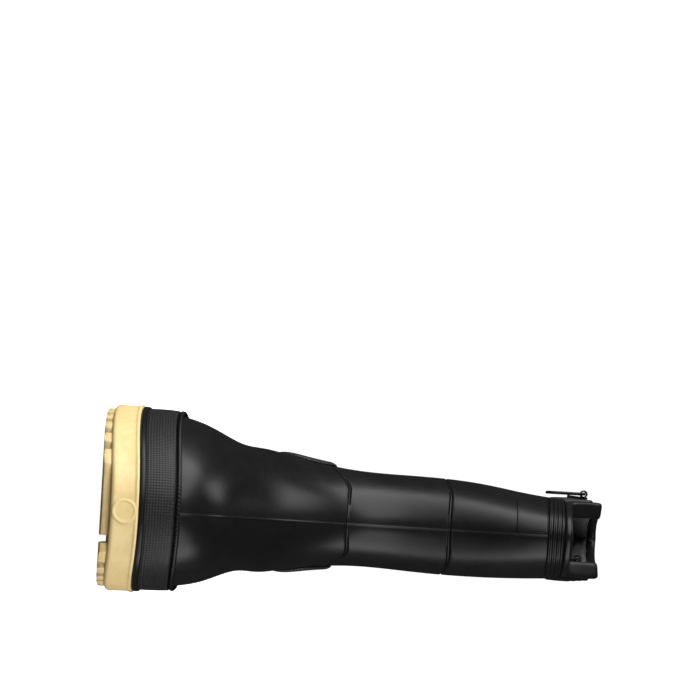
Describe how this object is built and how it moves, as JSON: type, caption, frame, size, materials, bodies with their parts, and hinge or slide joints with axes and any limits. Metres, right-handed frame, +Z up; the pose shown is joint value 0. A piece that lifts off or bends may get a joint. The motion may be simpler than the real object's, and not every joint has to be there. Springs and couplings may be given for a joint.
{
  "type": "pull-on fire boot",
  "caption": "Pull-on rubber fire boot: lugged cream sole, textured rand with rope bead, plain black leg with ribbed collar, stepped rim and hinged pull loops",
  "frame": {"origin": "middle of the footprint, on the ground", "axes": "+Z up the leg, toe towards -Y, outer side of the right foot at -X"},
  "size_m": [0.1308, 0.3254, 0.3553],
  "materials": {
    "cream_rubber": "satin moulded",
    "black_rubber": "semi-gloss cured rubber",
    "textured_rubber": "knurled, dull",
    "strap_rubber": "satin",
    "sponge_rubber": "open cell",
    "steel": "rolled",
    "fibre_board": "pressed fibre",
    "felt": "needled felt",
    "lining_cloth": "knitted"
  },
  "bodies": {
    "boot": {"outsole": "cream_rubber", "midsole_filler": "sponge_rubber", "steel_shank": "steel", "puncture_plate": "steel", "welt": "black_rubber", "insole_board": "fibre_board", "footbed": "felt", "vamp_shell": "black_rubber", "lower_leg_shell": "black_rubber", "upper_leg_shell": "black_rubber", "rand": "textured_rubber", "rope_bead": "black_rubber", "collar_band": "black_rubber", "rim_bead": "black_rubber", "ankle_guard_outer": "textured_rubber", "ankle_guard_inner": "textured_rubber", "front_patch": "black_rubber", "toe_cap": "steel", "heel_counter": "fibre_board", "insulation": "felt", "fabric_lining": "lining_cloth", "loop_keeper_outer": "black_rubber", "loop_keeper_inner": "black_rubber"},
    "outer_loop": {"pull_loop_outer": "strap_rubber"},
    "inner_loop": {"pull_loop_inner": "strap_rubber"}
  },
  "joints": [
    {"name": "outer_loop_hinge", "type": "hinge", "parent": "boot", "child": "outer_loop", "pos_m": [-0.02326, 0.09258, 0.3414], "axis": [0, 1, 0], "range_deg": [0, 165]},
    {"name": "inner_loop_hinge", "type": "hinge", "parent": "boot", "child": "inner_loop", "pos_m": [0.02475, 0.09258, 0.33964], "axis": [0, 1, 0], "range_deg": [0, 150]}
  ]
}
